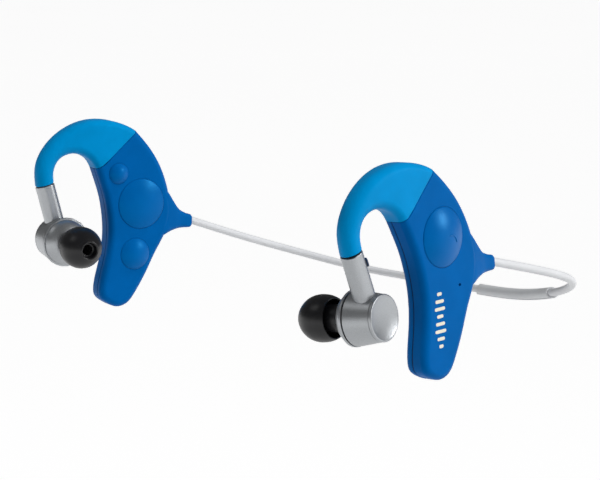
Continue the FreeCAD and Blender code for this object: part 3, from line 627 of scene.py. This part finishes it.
def outline_ring(edge_inset, seam_inset=0.0):
    """The pod's outline with its long edge and its seam moved in, as (u, v) points."""
    edge = extended(inset(EDGE, edge_inset))
    seam = extended(inset(SEAM_LINE, seam_inset))
    half = len(edge) // 2
    i, j, top = meeting(edge[:half], seam)
    k, m, bottom = meeting(edge[half:], seam)
    long_part = [top] + edge[i + 1:half + k + 1] + [bottom]
    seam_part = [bottom] + seam[m + 1:j + 1] + [top]
    return resampled(long_part, EDGE_POINTS) + resampled(seam_part, SEAM_POINTS)


OUTER_RINGS = []
SEAM_BEVEL = 0.2
ROUND_STEPS = 12
for step in range(ROUND_STEPS + 1):
    turn = math.pi / 2 * step / ROUND_STEPS
    drop = EDGE_ROUND * (1 - math.sin(turn))
    OUTER_RINGS.append((outline_ring(EDGE_ROUND * (1 - math.cos(turn)),
                                     max(SEAM_BEVEL - drop, 0.0)), drop))
WALL, LIP, SEAM_LIP = 1.1, 0.12, 0.06
HOLLOW_RING = outline_ring(WALL, WALL)
LIP_RING = outline_ring(LIP, SEAM_LIP)
SHELL_SMOOTHING = 32


def make_shell(pod, face):
    """One half of a housing: a hollow shell with a rounded long edge."""
    top = face * THICKNESS / 2
    parting = PARTING[face]

    def ring(points, w):
        return [pod.world(w, u, v) for u, v in points]

    rings = [ring(HOLLOW_RING, top - face * WALL), ring(HOLLOW_RING, parting),
             ring(LIP_RING, parting), ring(OUTER_RINGS[0][0], parting + face * LIP)]
    rings += [ring(points, top - face * drop) for points, drop in OUTER_RINGS]
    bm = bmesh.new()
    bridge(bm, rings)
    name = pod.name + ("_outer_shell" if face > 0 else "_inner_shell")
    return mesh_object(name + "_moulding", bm, smooth_angle=SHELL_SMOOTHING), name


def cut(obj, cutter):
    """Takes one mesh out of another."""
    change = obj.modifiers.new("cut", "BOOLEAN")
    change.operation = "DIFFERENCE"
    change.solver = "EXACT"
    change.object = cutter
    bpy.context.view_layer.update()
    shape = bpy.data.meshes.new_from_object(
        obj.evaluated_get(bpy.context.evaluated_depsgraph_get()))
    obj.modifiers.clear()
    obj.data = shape
    bpy.data.objects.remove(cutter)
    shade(shape, SHELL_SMOOTHING)


def flatten_faces(obj, normal):
    """Shades the faces square to a direction as one plane, so that no crease runs over them."""
    for polygon in obj.data.polygons:
        if abs(polygon.normal.dot(normal)) > 0.9999:
            polygon.use_smooth = False


CUT_BELOW, CUT_ABOVE = 0.4, 0.3


def hole_cutter(pod, face, centre, radius, ratio=1.0, turn=0.0):
    """Plug for a round or oval opening through the wall."""
    top = THICKNESS / 2
    bm = bmesh.new()
    angle = math.radians(90 + turn)
    rings = []
    for level in (top - WALL - CUT_BELOW, top + CUT_ABOVE):
        ring = []
        for step in range(TURNED_SIDES):
            a = 2 * math.pi * step / TURNED_SIDES
            x = radius * math.cos(a)
            y = radius * ratio * math.sin(a)
            u = centre[0] + x * math.cos(angle) - y * math.sin(angle)
            v = centre[1] + x * math.sin(angle) + y * math.cos(angle)
            ring.append(pod.world(face * level, u, v))
        rings.append(ring)
    bridge(bm, rings)
    return mesh_object("cutter", bm)


CALL = {"centre": (9.3, 3.9), "radius": 8.15, "ratio": 0.915, "rise": 1.8, "turn": -11.0}
UP = {"centre": (2.7, 8.7), "radius": 3.3, "rise": 1.3}
PLAY = {"centre": (11.2, -0.8), "radius": 8.0, "rise": 1.3}
DOWN = {"centre": (10.1, -16.9), "radius": 5.0, "rise": 1.4}
MICROPHONE, MICROPHONE_HOLE = (14.4, -9.8), 0.45
PORT = (6.0, -22.5)
COVER = (6.0, 11.0, 1.2)
COVER_GAP = 0.15
BUTTON_GAP = 0.04


def port_cutter():
    half_w, half_l, corner = COVER[0] / 2, COVER[1] / 2, COVER[2]
    bm = bmesh.new()
    rings = []
    top = THICKNESS / 2
    for level, extra in ((top - WALL - CUT_BELOW, 0.0), (top - 0.15, 0.0),
                         (top, 0.12), (top + CUT_ABOVE, 0.24)):
        rings.append([LEFT.world(-level, PORT[0] + x, PORT[1] + y) for x, y in
                      rounded_section(half_w + extra, half_l + extra, corner + extra)])
    bridge(bm, rings)
    return mesh_object("cutter", bm)


def make_housing(pod):
    outer, outer_name = make_shell(pod, 1)
    inner, inner_name = make_shell(pod, -1)
    if pod is LEFT:
        cut(outer, hole_cutter(pod, 1, CALL["centre"], CALL["radius"] + BUTTON_GAP,
                               CALL["ratio"], CALL["turn"]))
        cut(outer, hole_cutter(pod, 1, MICROPHONE, MICROPHONE_HOLE))
        cut(inner, port_cutter())
    else:
        for key in (UP, PLAY, DOWN):
            cut(inner, hole_cutter(pod, -1, key["centre"], key["radius"] + BUTTON_GAP))
    for shell, node in ((outer, outer_name), (inner, inner_name)):
        flatten_faces(shell, pod.out)
        dress(shell, "housing_blue")
        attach(shell, pod.housing)
        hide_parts(node)


for pod in PODS:
    make_housing(pod)

# ------------------------------------------------------------------ hooks and boots

SEAM_BOUND = [(14.4, 28.4)] + list(reversed(SEAM)) + [(-8.5, 8.6)]
SEAM_GAP = 0.1
BOUND_SAMPLES = 400
BOOT_BOUND = natural_spline(inset(HOUSING, BOOT_DEPTH), BOUND_SAMPLES)


def side_of(point, line):
    """Distance of a point from a line of points, positive on the line's left side."""
    values = np.array(line)
    starts, ends = values[:-1], values[1:]
    runs = ends - starts
    away = np.array(point) - starts
    share = np.clip((away * runs).sum(1) / (runs ** 2).sum(1), 0, 1)
    gaps = away - runs * share[:, None]
    index = int(np.argmin((gaps ** 2).sum(1)))
    cross = runs[index][0] * away[index][1] - runs[index][1] * away[index][0]
    return math.copysign(math.hypot(*gaps[index]), cross)


LOFT_SAMPLES, SEARCH_STEPS, HALVINGS, END_STEPS = 220, 40, 24, 6


def lofted(sections, clear, end_round, stations=110):
    """Body through section rows, started where each of its lines comes clear of its neighbour."""
    count = len(sections[0])
    rows = np.array([[c for point in section for c in point] for section in sections])
    centres = rows.reshape(len(rows), count, 3).mean(1)[:, 1:]
    table = np.array(natural_spline(np.hstack([centres, rows]), LOFT_SAMPLES))
    smooth = table[:, 2:].reshape(LOFT_SAMPLES, count, 3)

    def at(line, share):
        place = share * (LOFT_SAMPLES - 1)
        index = min(int(place), LOFT_SAMPLES - 2)
        part = place - index
        return smooth[index, line] * (1 - part) + smooth[index + 1, line] * part

    starts = []
    for line in range(count):
        low, high = 0.0, 1.0
        for share in np.linspace(0, 1, SEARCH_STEPS + 1):
            if clear(at(line, share)):
                high = share
                break
            low = share
        for _ in range(HALVINGS):
            middle = (low + high) / 2
            if clear(at(line, middle)):
                high = middle
            else:
                low = middle
        starts.append(high)
    rings = []
    for station in range(stations + 1):
        share = station / stations
        rings.append(np.array([at(line, start + (1 - start) * share)
                               for line, start in enumerate(starts)]))
    centre = rings[-1].mean(0)
    way = centre - rings[-3].mean(0)
    way /= np.linalg.norm(way)
    radius = np.linalg.norm(rings[-1] - centre, axis=1).mean()
    softened = []
    for step in range(1, END_STEPS + 1):
        turn = math.pi / 2 * step / END_STEPS
        shrink = 1 - end_round * (1 - math.cos(turn)) / radius
        softened.append(centre + (rings[-1] - centre) * shrink
                        - way * end_round * (1 - math.sin(turn)))
    keep = [ring for ring in rings[:-1]
            if np.dot(centre - ring.mean(0), way) > end_round + 0.02
            or np.linalg.norm(centre - ring.mean(0)) > 3 * end_round]
    keep.append(rings[-1] - way * end_round)
    return keep + softened


def hook_section(outer, inner, depth, corner):
    high, low = np.array(outer), np.array(inner)
    half = np.linalg.norm(high - low) / 2
    across = (high - low) / (2 * half)
    middle = (high + low) / 2
    return [(y, middle[0] + across[0] * x, middle[1] + across[1] * x)
            for x, y in rounded_section(half, depth / 2, corner)]


def make_hook(pod):
    """Soft hook from the seam to the stem, standing for its spring core too."""
    sections = [hook_section(*row) for row in HOOK]
    rings = lofted(sections, lambda point: side_of(point[1:], SEAM_BOUND) < -SEAM_GAP,
                   end_round=0.15)
    first = rings[0]
    centre = first.mean(0)
    lead = []
    for shrink, back in ((0.16, 0.0), (0.05, 0.05)):
        away = (first - centre) / np.linalg.norm(first - centre, axis=1)[:, None]
        lead.append(first - away * shrink + (rings[1] - first) * back)
    rings = lead + [first + (rings[1] - first) * 0.2] + rings[1:]
    bm = bmesh.new()
    bridge(bm, [[pod.world(w, u, v) for w, u, v in ring] for ring in rings])
    hook = mesh_object(pod.name + "_hook_moulding", bm, smooth_angle=50)
    dress(hook, "hook_blue")
    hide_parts(pod.name + "_hook", pod.name + "_hook_core")
    pod.world(0, -6.5, 12.0)
    pod.world(0, -17.0, 6.5)
    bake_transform(hook)


def boot_section(back, top, bottom, depth, corner):
    middle = (top + bottom) / 2
    return [(y, back, middle + x)
            for x, y in rounded_section((top - bottom) / 2, depth / 2, corner)]


def make_boot(pod):
    """Strain relief flared against the back of the housing, bored for the cord."""
    sections = [boot_section(*row) for row in BOOT]
    rings = lofted(sections, lambda point: side_of(point[1:], BOOT_BOUND) > 0,
                   end_round=0.3, stations=60)
    bm = bmesh.new()
    bridge(bm, [[pod.world(w, u, v) for w, u, v in ring] for ring in rings])
    boot = mesh_object(pod.name + "_boot_moulding", bm, smooth_angle=40)
    path = CORD_PATH if pod is LEFT else CORD_PATH[::-1]
    near = [place for place in path if (place - path[0]).length < BOOT_REACH]
    bore = bmesh.new()
    bridge(bore, tube_rings(near, CORD_BORE, CORD_BORE_SIDES))
    cut(boot, mesh_object("cutter", bore))
    dress(boot, "housing_blue")
    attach(boot, pod.housing)
    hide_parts(pod.name + "_cord_boot")


for pod in PODS:
    make_hook(pod)
    make_boot(pod)

# ------------------------------------------------------------------ stem and driver capsule

CAN = {"wide": 7.5, "narrow": 6.35, "rear": -8.5, "front": -0.95, "wall": 0.7, "cap": 0.95}
STEM_TOP = (0.0, -20.87, 4.72)
STEM_REACH = -4.9
STEM_START = 0.43
STEM_HALF_WIDTH, STEM_HALF_THICKNESS, STEM_CORNER = 2.9, 2.65, 2.2
STEM_CORNER_POINTS = 11
STEM_LIMIT, STEM_STEP, STEM_STEPS, STEM_HALVINGS = 20.0, 0.1, 200, 20
STEM_SOFT, STEM_SOFT_STEPS, STEM_STATIONS = 0.2, 5, 30


def make_stem(pod):
    """Rounded bar that ends in the shape of the can it stands on."""
    top = pod.world(*STEM_TOP)
    way = (pod.bezel + pod.inward * STEM_REACH * MM - top).normalized()
    frame_here = turned_frame(top + way * STEM_START * MM, way, pod.out)
    slope = (CAN["wide"] - CAN["narrow"]) / (CAN["front"] - CAN["rear"])
    into_can = pod.driver_frame().inverted()

    def inside(place):
        local = into_can @ place / MM
        radius = CAN["narrow"] + slope * (local.z - CAN["rear"]) + 0.05
        return math.hypot(local.x, local.y) < radius

    section = rounded_section(STEM_HALF_THICKNESS, STEM_HALF_WIDTH, STEM_CORNER,
                              STEM_CORNER_POINTS)
    lengths = []
    for x, y in section:
        low, high = 0.0, STEM_LIMIT
        for step in range(STEM_STEPS):
            reach = step * STEM_STEP
            if inside(frame_here @ Vector((x * MM, y * MM, reach * MM))):
                high = reach
                break
            low = reach
        for _ in range(STEM_HALVINGS):
            middle = (low + high) / 2
            if inside(frame_here @ Vector((x * MM, y * MM, middle * MM))):
                high = middle
            else:
                low = middle
        lengths.append(low)
    rings = []
    for step in range(STEM_SOFT_STEPS + 1):
        turn = math.pi / 2 * step / STEM_SOFT_STEPS
        shrink = STEM_SOFT * (1 - math.sin(turn))
        rise = STEM_SOFT * (1 - math.cos(turn))
        inner = rounded_section(STEM_HALF_THICKNESS - shrink, STEM_HALF_WIDTH - shrink,
                                STEM_CORNER - shrink, STEM_CORNER_POINTS)
        rings.append([frame_here @ Vector((x * MM, y * MM, rise * MM)) for x, y in inner])
    for step in range(1, STEM_STATIONS + 1):
        share = step / STEM_STATIONS
        rings.append([frame_here @ Vector((x * MM, y * MM,
                                           (STEM_SOFT + (length - STEM_SOFT) * share) * MM))
                      for (x, y), length in zip(section, lengths)])
    bm = bmesh.new()
    bridge(bm, rings)
    stem = mesh_object(pod.name + "_stem_bar", bm, smooth_angle=50)
    dress(stem, "silver_paint")
    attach(stem, pod.driver)
    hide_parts(pod.name + "_stem")


def make_turned(pod, name, node, slot, profile, body, count=14, smooth_angle=35.0):
    piece = turned(name, pod.driver_frame(), profile_points(profile, count), body,
                   smooth_angle=smooth_angle)
    dress(piece, slot)
    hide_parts(node)
    return piece


def make_capsule(pod):
    rear, front = CAN["rear"], CAN["front"]
    wide, narrow, wall = CAN["wide"], CAN["narrow"], CAN["wall"]
    make_turned(pod, pod.name + "_can_body", pod.name + "_driver_can", "silver_paint", [
        (narrow - wall, rear), (narrow - 0.12, rear),
        ((narrow - 0.035, rear + 0.035), (narrow, rear + 0.12)),
        (wide - 0.01, front - 0.1), (wide - 0.1, front), (wide - wall, front)], pod.driver)
    edge = narrow - 0.03
    back = rear - CAN["cap"]
    plug = narrow - wall - 0.05
    make_turned(pod, pod.name + "_can_end", pod.name + "_can_cap", "silver_paint", [
        (0, back + 0.62), ((edge * 0.55, back + 0.44), (edge - 0.62, back + 0.04)),
        ((edge - 0.5, back), (edge - 0.36, back)),
        ((edge - 0.1, back + 0.1), (edge, back + 0.36)),
        (edge, rear - 0.16), (edge - 0.1, rear - 0.05), (plug, rear - 0.05),
        (plug, rear + 0.6), (0, rear + 0.6)], pod.driver)
    groove, depth, level = 7.15, 0.9, -0.62
    make_turned(pod, pod.name + "_bezel_seal", pod.name + "_bezel_gasket", "seal_dark", [
        (groove - depth, front + 0.02), (groove, front + 0.02), (groove, level),
        (groove - depth, level)], pod.driver)
    rim, tall, neck, bore = 7.65, 3.4, 2.6, 1.7
    end, lip, shoulder, face = 9.4, 0.35, 7.15, 0.25
    make_turned(pod, pod.name + "_front_dome", pod.name + "_front_shell", "silver_paint", [
        (rim - 0.08, -0.6), (rim, -0.52), (rim, face - 0.2),
        ((rim - 0.06, face - 0.06), (rim - 0.2, face)), (shoulder, face),
        ((shoulder * 0.78, face + tall * 0.66), (neck + 0.7, tall)),
        ((neck + 0.2, tall + 0.12), (neck, tall + 0.45)), (neck, end - 1.5),
        (neck + lip, end - 1.1), (neck + lip, end - 0.6), (neck, end), (bore, end),
        (bore, tall), ((shoulder * 0.62, face + tall * 0.5), (shoulder - wall, face)),
        (shoulder - wall, -0.6)], pod.driver, count=20)
    make_turned(pod, pod.name + "_silicone_tip", pod.name + "_ear_tip", "tip_silicone", [
        (2.99, 4.0), (3.6, 4.0), ((3.71, 4.04), (3.75, 4.15)), (3.75, 12.6),
        ((4.6, 13.2), (5.3, 12.3)), ((5.72, 10.9), (5.62, 9.6)), ((5.46, 8.1), (5.16, 7.05)),
        ((5.32, 6.72), (5.66, 6.86)), ((6.18, 8.3), (6.4, 9.9)), ((5.15, 14.7), (3.05, 16.72)),
        ((2.66, 16.86), (2.36, 16.55)), (2.1, 15.35), ((1.98, 15.14), (1.76, 15.1)),
        ((1.64, 15.04), (1.6, 14.9)), (1.6, 9.8), (2.99, 9.5)],
        pod.name + "_tip",
        count=24, smooth_angle=60)


for pod in PODS:
    make_stem(pod)
    make_capsule(pod)

# ------------------------------------------------------------------ buttons

DOME_STEPS, DOME_CROWDING = 24, 1.6


def make_button(pod, face, name, node, body, key):
    """Domed button with a softened rim, and its flange behind the wall."""
    radius, rise = key["radius"], key["rise"]
    level, low, thick, flange = THICKNESS / 2 + 0.1, 2.2, 0.5, radius + 0.5
    softening = 0.12
    ball = (radius ** 2 + rise ** 2) / (2 * rise)
    crown = level + rise
    profile = [(0, low), (flange, low), (flange, low + thick), (radius, low + thick),
               (radius, level - 0.15)]
    rim = len(profile)
    for step in range(1, DOME_STEPS + 1):
        reach = radius * (1 - (step / DOME_STEPS) ** DOME_CROWDING)
        height = crown - ball + math.sqrt(ball ** 2 - reach ** 2)
        profile.append((reach, height - 0.002))
    profile[rim] = (radius - softening, profile[rim][1] - 0.01)
    angle = math.radians(90 + key.get("turn", 0.0))
    long_way = pod.direction(0, math.cos(angle), math.sin(angle))
    place = turned_frame(pod.world(0, *key["centre"]), pod.out * face, long_way)
    stretch = Matrix.Diagonal((1.0, key.get("ratio", 1.0), 1.0, 1.0))
    piece = turned(name, place @ stretch, profile, body, smooth_angle=45)
    dress(piece, "button_blue")
    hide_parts(node)
    return place, ball, crown


CALL_FRAME, CALL_BALL, CALL_CROWN = make_button(
    LEFT, 1, "call_button_cap", "call_button", "call_key", CALL)
make_button(RIGHT, -1, "volume_up_cap", "volume_up_button", "volume_up_key", UP)
make_button(RIGHT, -1, "play_cap", "play_button", "play_key", PLAY)
make_button(RIGHT, -1, "volume_down_cap", "volume_down_button", "volume_down_key", DOWN)


def make_cover():
    """Rubber flap over the charging port, with a rounded edge and a slightly dished face."""
    half_w, half_l = COVER[0] / 2 - COVER_GAP, COVER[1] / 2 - COVER_GAP
    corner, top = COVER[2] - COVER_GAP, THICKNESS / 2
    rings = []
    for shrink, level in ((0.1, top - 0.93), (0.0, top - 0.85), (0.0, top - 0.3),
                          (0.06, top - 0.12), (0.15, top - 0.04), (0.3, top), (1.2, top - 0.03)):
        rings.append([LEFT.world(-level, PORT[0] + x, PORT[1] + y) for x, y in
                      rounded_section(half_w - shrink, half_l - shrink,
                                      max(corner - shrink, 0.4))])
    bm = bmesh.new()
    bridge(bm, rings)
    cover = mesh_object("port_flap_moulding", bm)
    dress(cover, "housing_blue")
    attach(cover, "port_flap")
    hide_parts("port_cover")


make_cover()

# ------------------------------------------------------------------ marks and print

MARK_CENTRE, MARK_RADIUS, MARK_START, MARK_SWEEP = (-1.7, 1.7), 2.4, 16, 98
MARK_HALF_WIDTH, MARK_STEPS = 0.27, 32


def arc_mark():
    """Small raised arc on the call button."""
    bm = bmesh.new()
    rings = []
    for step in range(MARK_STEPS + 1):
        share = step / MARK_STEPS
        angle = math.radians(MARK_START + MARK_SWEEP * share)
        thin = MARK_HALF_WIDTH * math.sin(math.pi * min(max(share, 0.05), 0.95)) ** 0.3
        ring = []
        for x, y in ((thin, 0.0), (thin * 0.75, 0.11), (0, 0.15), (-thin * 0.75, 0.11),
                     (-thin, 0.0), (-thin, -0.25), (thin, -0.25)):
            reach = MARK_RADIUS + x
            back = MARK_CENTRE[1] + reach * math.cos(angle)
            rise = MARK_CENTRE[0] + reach * math.sin(angle)
            height = (CALL_CROWN - CALL_BALL
                      + math.sqrt(CALL_BALL ** 2 - back ** 2 - rise ** 2))
            ring.append(CALL_FRAME @ (Vector((rise, -back, height - 0.03 + y)) * MM))
        rings.append(ring)
    bridge(bm, rings)
    mark = mesh_object("call_button_mark", bm, "call_key", 60)
    dress(mark, "button_blue")


BARS = [(-10.9, 1.8), (-12.9, 3.2), (-14.9, 3.9), (-16.9, 2.4), (-18.9, 3.4), (-20.9, 4.1),
        (-22.9, 2.8), (-24.9, 1.6)]
BAR_COLUMN, BAR_MIDDLE, BAR_LEAN, BAR_HALF_HEIGHT = 6.0, -18.0, 0.05, 0.45


def print_bars():
    """Plain printed bars on the outer face of the left housing."""
    bm = bmesh.new()
    face = THICKNESS / 2
    for height, wide in BARS:
        column = BAR_COLUMN + (height - BAR_MIDDLE) * BAR_LEAN
        rings = []
        for level, shrink in ((face - 0.02, 0.0), (face + 0.012, 0.0), (face + 0.016, 0.05)):
            rings.append([LEFT.world(level, column + x, height + y) for x, y in
                          rounded_section(wide / 2 - shrink, BAR_HALF_HEIGHT - shrink, 0.4, 6)])
        bridge(bm, rings)
    ink = mesh_object("left_print_bars", bm, LEFT.housing)
    ink.data.materials.append(PRINT_CREAM)


arc_mark()
print_bars()

# ------------------------------------------------------------------ CAD nodes kept as they are

MATERIALS["mark_blue"] = plastic("mark_rubber", (0.012, 0.035, 0.09), 0.4)
for entry in frame["record"]["subparts"]:
    node = frame["nodes"][entry["node"]]
    if not node.hide_render:
        node.data.materials.clear()
        node.data.materials.append(MATERIALS[entry["material_slot"]])

# ------------------------------------------------------------------ light and floor

def area_light(name, place, aim, size, power):
    data = bpy.data.lights.new(name, "AREA")
    data.shape = "RECTANGLE"
    data.size, data.size_y = size
    data.energy = power
    light = bpy.data.objects.new(name, data)
    light.location = place
    light.rotation_euler = (Vector(aim) - Vector(place)).to_track_quat("-Z", "Y").to_euler()
    bpy.context.scene.collection.objects.link(light)


FLOOR_REACH, FLOOR_LEVEL, FLOOR_GREY = 40.0, -0.5, (0.93, 0.93, 0.93)
GLOW_START, GLOW_END, GLOW_STRENGTH = 0.5, 1.6, 0.38
AIR_LIGHT, BACKDROP = 0.12, 0.97


def make_studio():
    """Pale floor that glows away from the middle, backdrop, sun and three lamps."""
    bm = bmesh.new()
    bmesh.ops.create_grid(bm, x_segments=8, y_segments=8, size=FLOOR_REACH)
    floor = mesh_object("studio_floor", bm)
    floor.location.z = FLOOR_LEVEL
    material, nodes, links, shader = new_material("floor_paint", FLOOR_GREY, 0.9)
    cloud = add_noise(nodes, links, 0.6)
    tint(nodes, links, shader, cloud.outputs["Fac"], FLOOR_GREY, (0.95, 0.95, 0.95))
    place = nodes.new("ShaderNodeTexCoord")
    reach = nodes.new("ShaderNodeVectorMath")
    reach.operation = "LENGTH"
    links.new(place.outputs["Object"], reach.inputs[0])
    glow = nodes.new("ShaderNodeMapRange")
    glow.interpolation_type = "SMOOTHSTEP"
    glow.inputs["From Min"].default_value = GLOW_START
    glow.inputs["From Max"].default_value = GLOW_END
    glow.inputs["To Max"].default_value = GLOW_STRENGTH
    links.new(reach.outputs["Value"], glow.inputs["Value"])
    shader.inputs["Emission Color"].default_value = (1, 1, 1, 1)
    links.new(glow.outputs["Result"], shader.inputs["Emission Strength"])
    floor.data.materials.append(material)
    world = bpy.data.worlds.new("studio_air")
    world.use_nodes = True
    air = world.node_tree.nodes["Background"]
    air.inputs["Color"].default_value = (1, 1, 1, 1)
    rays = world.node_tree.nodes.new("ShaderNodeLightPath")
    strength = world.node_tree.nodes.new("ShaderNodeMapRange")
    strength.inputs["To Min"].default_value = AIR_LIGHT
    strength.inputs["To Max"].default_value = BACKDROP
    world.node_tree.links.new(rays.outputs["Is Camera Ray"], strength.inputs["Value"])
    world.node_tree.links.new(strength.outputs["Result"], air.inputs["Strength"])
    bpy.context.scene.world = world
    sun = bpy.data.lights.new("overhead", "SUN")
    sun.energy = 2.0
    sun.angle = math.radians(35)
    overhead = bpy.data.objects.new("overhead", sun)
    overhead.rotation_euler = Vector((-0.45, -0.25, -0.86)).to_track_quat("-Z", "Y").to_euler()
    overhead.visible_glossy = False
    bpy.context.scene.collection.objects.link(overhead)
    area_light("key", (0.67, 0.60, 0.29), (0.04, 0.0, 0.0), (0.22, 0.22), 2.4)
    area_light("fill", (0.55, -0.75, 0.35), (0.0, 0.0, 0.0), (0.6, 0.6), 0.04)
    area_light("top_front", (-0.25, -0.60, 0.70), (0.0, 0.0, 0.0), (0.35, 0.35), 0.35)
    bpy.context.scene.view_settings.view_transform = "Standard"


make_studio()
